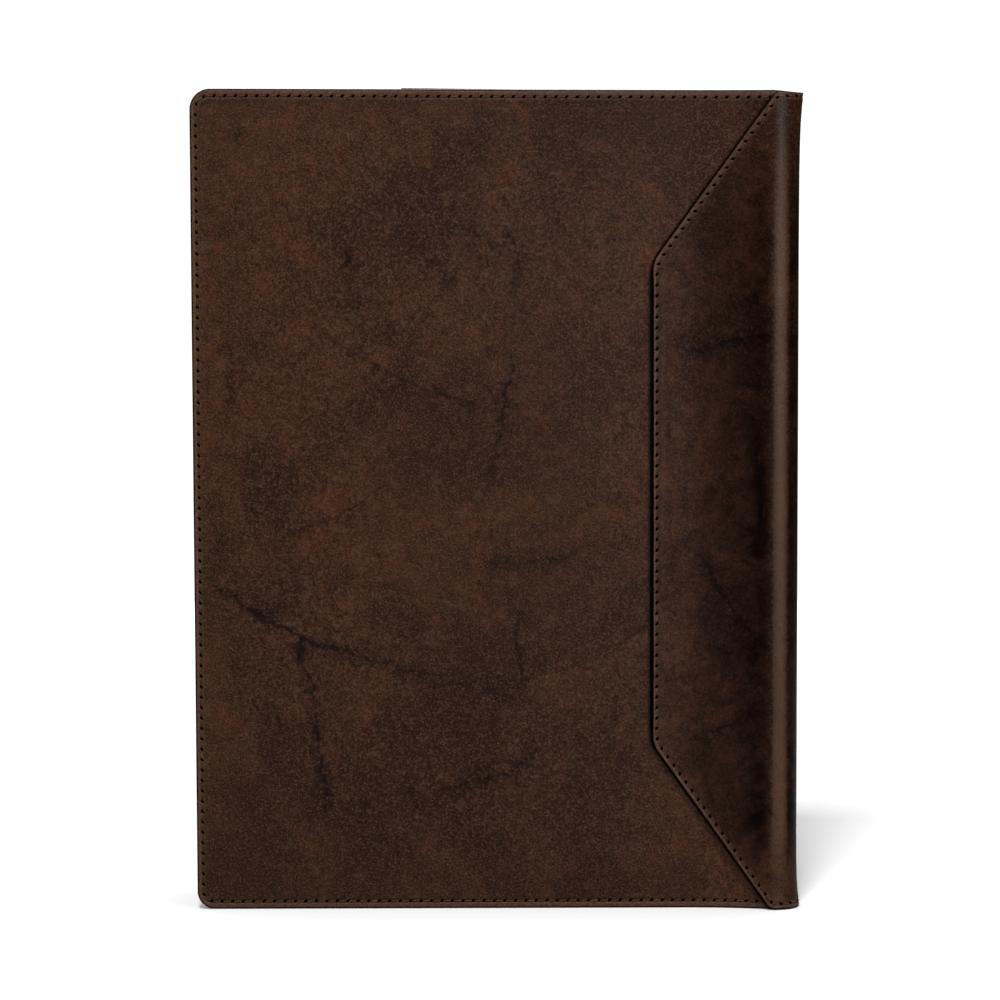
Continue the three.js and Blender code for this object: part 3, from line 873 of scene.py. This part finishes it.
def thread_mesh(name, groups, flips):
    """One mesh of many small tubes, each closed by a fan at both ends. flips says which groups turn
    their faces the other way."""
    points, faces, uvs, start = [], [], [], 0
    for group, flip in zip(groups, flips):
        count, rings, sides = group.shape[:3]
        index = np.arange(rings * sides).reshape(rings, sides)
        beside = np.roll(index, -1, axis=1)
        tube = np.stack([index[:-1], index[1:], beside[1:], beside[:-1]], axis=-1).reshape(-1, 4)
        caps = [list(index[0]), list(index[-1, ::-1])]
        for stitch in range(count):
            base = start + stitch * rings * sides
            for face in tube.tolist() + caps:
                shifted = [base + corner for corner in face]
                faces.append(shifted[::-1] if flip else shifted)
        points.append(group.reshape(-1, 3))
        turn = np.arange(sides) / sides + 0 * index
        run = np.arange(rings)[:, None] / (rings - 1) + 0 * turn
        uvs.append(np.tile(np.stack([run, turn], axis=-1).reshape(-1, 2), (count, 1)))
        start += count * rings * sides
    mesh = bpy.data.meshes.new(name)
    mesh.from_pydata(np.concatenate(points).tolist(), [], faces)
    corners = np.concatenate([np.array(face) for face in faces])
    uv = np.concatenate(uvs)[corners].astype(np.float32)
    mesh.uv_layers.new(name="thread").data.foreach_set("uv", uv.ravel())
    mesh.shade_smooth()
    mesh.update()
    piece = bpy.data.objects.new(name, mesh)
    bpy.context.scene.collection.objects.link(piece)
    return piece


def waxed_thread():
    """Brown waxed linen: plies twist round the thread, darker between them, with a little wax on top."""
    material = bpy.data.materials.new("waxed_thread")
    material.use_nodes = True
    tree = material.node_tree
    surface = tree.nodes["Principled BSDF"]
    shade = Shade(tree)
    run, turn, _ = shade.parts(shade.node("ShaderNodeUVMap", {"uv_map": "thread"}))
    ply = shade.math("SINE", (run * PLY_TURNS + turn) * (2 * math.pi * PLIES))
    place = shade.node("ShaderNodeTexCoord", output="Object")
    wear = shade.noise(place, **THREAD_WEAR)
    colour = ply.ramp(-0.9, 0.4).tint(THREAD_DARK, THREAD_BROWN)
    colour = (wear.ramp(0.54, 0.74) * 0.6).tint(colour, THREAD_WAX)
    tree.links.new(colour.socket, surface.inputs["Base Color"])
    roughness = THREAD_ROUGHNESS + wear * WEAR_ROUGHNESS
    tree.links.new(roughness.socket, surface.inputs["Roughness"])
    bump = shade.node("ShaderNodeBump", None, {"Height": ply * PLY_DEPTH, "Distance": 1.0})
    tree.links.new(bump.socket, surface.inputs["Normal"])
    surface.inputs["Specular IOR Level"].default_value = THREAD_SPECULAR
    return material


def cover_surface(side, inward):
    """The seam's surface on a cover, outside or inside, as a function of reach, height and lift."""
    def surface(reach, height, lift):
        face = panel_face(reach, height)
        inside = face - PANEL_LEATHER + INSIDE_RELIEF * GROOVE_DEPTH - lift
        return place(side["away"], side["out"], reach, inside if inward else face + lift, height)

    return surface


thread_material = waxed_thread()
for title, side, flips in (
    ("back_panel_thread", BACK_SIDE, (True, False)),
    ("front_panel_thread", FRONT_SIDE, (False, True)),
):
    seams = [
        saddle_stitches(panel_seam, panel_seam_length, panel_stitches, cover_surface(side, inward))
        for inward in (False, True)
    ]
    panel_thread = thread_mesh(title, seams, flips)
    panel_thread.data.materials.append(thread_material)
    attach(panel_thread, "root")

wrap_thread = thread_mesh(
    "spine_wrap_thread",
    [saddle_stitches(wrap_seam, wrap_seam_length, wrap_stitches, wrap_place)],
    (False,),
)
wrap_thread.data.materials.append(thread_material)
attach(wrap_thread, "root")


# Studio
# A pale floor that goes over into a white surround, soft lights round the case, one more from the front
# for the floor alone, which casts the shadow behind the spine, and the camera at the photograph's place.

FLOOR_RADIUS = 1.1
FLOOR_SIDES = 96
FLOOR_GREY = (0.25, 0.25, 0.25, 1)
FLOOR_SEEN = (0.9, 0.9, 0.9, 1)
FLOOR_ROUGHNESS = 0.9
FLOOR_SPECULAR = 0.1
FLOOR_FADE = {"start": 0.3, "end": 0.9, "glow": 0.65}
NEAR_SIDE = {"start": 0.0, "end": -0.09, "glow": 0.16}
FLOOR_GLOW = 0.08
BLACK, WHITE = (0, 0, 0, 1), (1, 1, 1, 1)
SURROUND_LIGHT = 0.03
SURROUND_SEEN = 1.13
CAMERA_DISTANCE = 1.3
CAMERA_PITCH = math.radians(4.685)
CAMERA_ROLL = math.radians(-0.18)
CAMERA_LENS = 118.73
CAMERA_SENSOR = 36.0
CAMERA_SHIFT = (0.00459, 0.00211)
TARGET = Vector((spine_x - PANEL_REACH + 118.75 * MM, spine_y, 161.5 * MM))
LIGHTS = [
    {"name": "window", "azimuth": 29, "elevation": 2, "distance": 1.8, "width": 0.62, "height": 1.3,
     "power": 12.5, "on_floor": False},
    {"name": "high_right", "azimuth": 36, "elevation": 50, "distance": 3.2, "width": 1.2, "height": 1.0,
     "power": 82, "on_floor": False},
    {"name": "front_left", "azimuth": -7, "elevation": 37, "distance": 2.4, "width": 0.3, "height": 0.3,
     "power": 13, "on_floor": False},
    {"name": "floor_key", "azimuth": -7, "elevation": 58, "distance": 2.4, "width": 0.3, "height": 0.3,
     "power": 40, "on_floor": True, "on_case": False},
    {"name": "far_left", "azimuth": -74, "elevation": 22, "distance": 1.8, "width": 0.7, "height": 1.1,
     "power": 11, "on_floor": False},
    {"name": "overhead", "azimuth": 180, "elevation": 88, "distance": 2.0, "width": 2.4, "height": 2.4,
     "power": 42, "on_floor": True},
    {"name": "rear", "azimuth": 200, "elevation": 30, "distance": 2.2, "width": 1.8, "height": 1.4,
     "power": 52, "on_floor": False},
]

turns = np.linspace(0, 2 * math.pi, FLOOR_SIDES, endpoint=False)
floor_points = [(FLOOR_RADIUS * math.cos(turn), FLOOR_RADIUS * math.sin(turn), 0) for turn in turns]
floor_mesh = bpy.data.meshes.new("floor")
floor_mesh.from_pydata(floor_points, [], [list(range(FLOOR_SIDES))])
floor = bpy.data.objects.new("floor", floor_mesh)
bpy.context.scene.collection.objects.link(floor)
paper = bpy.data.materials.new("paper")
paper.use_nodes = True
sheet = Shade(paper.node_tree)
seen = sheet.node("ShaderNodeLightPath", output="Is Camera Ray")
spot = sheet.node("ShaderNodeTexCoord", output="Object")
from_middle = sheet.vector("LENGTH", spot, output="Value").ramp(FLOOR_FADE["start"], FLOOR_FADE["end"])
near_side = sheet.parts(spot)[1].ramp(NEAR_SIDE["start"], NEAR_SIDE["end"])
glow = seen * (from_middle * FLOOR_FADE["glow"] + near_side * NEAR_SIDE["glow"] + FLOOR_GLOW)
matt = paper.node_tree.nodes["Principled BSDF"]
matt.inputs["Roughness"].default_value = FLOOR_ROUGHNESS
matt.inputs["Specular IOR Level"].default_value = FLOOR_SPECULAR
floor_tone = seen.tint(FLOOR_GREY, FLOOR_SEEN)
paper.node_tree.links.new(floor_tone.socket, matt.inputs["Base Color"])
paper.node_tree.links.new(glow.tint(BLACK, WHITE).socket, matt.inputs["Emission Color"])
matt.inputs["Emission Strength"].default_value = 1.0
floor_mesh.materials.append(paper)
floor_links = {}
for title, state in (("floor_left_out", "EXCLUDE"), ("floor_alone", "INCLUDE")):
    floor_links[title] = bpy.data.collections.new(title)
    floor_links[title].objects.link(floor)
    floor_links[title].collection_objects[0].light_linking.link_state = state

world = bpy.data.worlds.new("surround")
bpy.context.scene.world = world
world.use_nodes = True
surround = Shade(world.node_tree)
lighting = surround.node("ShaderNodeBackground", None, {"Color": WHITE, "Strength": SURROUND_LIGHT})
backdrop = surround.node("ShaderNodeBackground", None, {"Color": WHITE, "Strength": SURROUND_SEEN})
camera_sees = surround.node("ShaderNodeLightPath", output="Is Camera Ray")
shown = surround.node("ShaderNodeMixShader", None, {0: camera_sees, 1: lighting, 2: backdrop})
world.node_tree.links.new(shown.socket, world.node_tree.nodes["World Output"].inputs["Surface"])

for light in LIGHTS:
    data = bpy.data.lights.new(light["name"], "AREA")
    data.shape = "RECTANGLE"
    data.size, data.size_y = light["width"], light["height"]
    data.energy = light["power"]
    lamp = bpy.data.objects.new(light["name"], data)
    azimuth, elevation = math.radians(light["azimuth"]), math.radians(light["elevation"])
    toward = Vector((
        math.sin(azimuth) * math.cos(elevation),
        -math.cos(azimuth) * math.cos(elevation),
        math.sin(elevation),
    ))
    lamp.location = TARGET + toward * light["distance"]
    lamp.rotation_euler = toward.to_track_quat("Z", "Y").to_euler()
    bpy.context.scene.collection.objects.link(lamp)
    if not light["on_floor"]:
        lamp.light_linking.receiver_collection = floor_links["floor_left_out"]
    if not light.get("on_case", True):
        lamp.light_linking.receiver_collection = floor_links["floor_alone"]

camera_data = bpy.data.cameras.new("camera")
camera_data.lens = CAMERA_LENS
camera_data.sensor_width = CAMERA_SENSOR
camera_data.shift_x, camera_data.shift_y = CAMERA_SHIFT
camera = bpy.data.objects.new("camera", camera_data)
bpy.context.scene.collection.objects.link(camera)
back = Vector((0, -math.cos(CAMERA_PITCH), math.sin(CAMERA_PITCH)))
turned = back.to_track_quat("Z", "Y").to_matrix().to_4x4() @ Matrix.Rotation(CAMERA_ROLL, 4, "Z")
camera.matrix_world = Matrix.Translation(TARGET + back * CAMERA_DISTANCE) @ turned
bpy.context.scene.camera = camera
bpy.context.scene.view_settings.view_transform = "Standard"
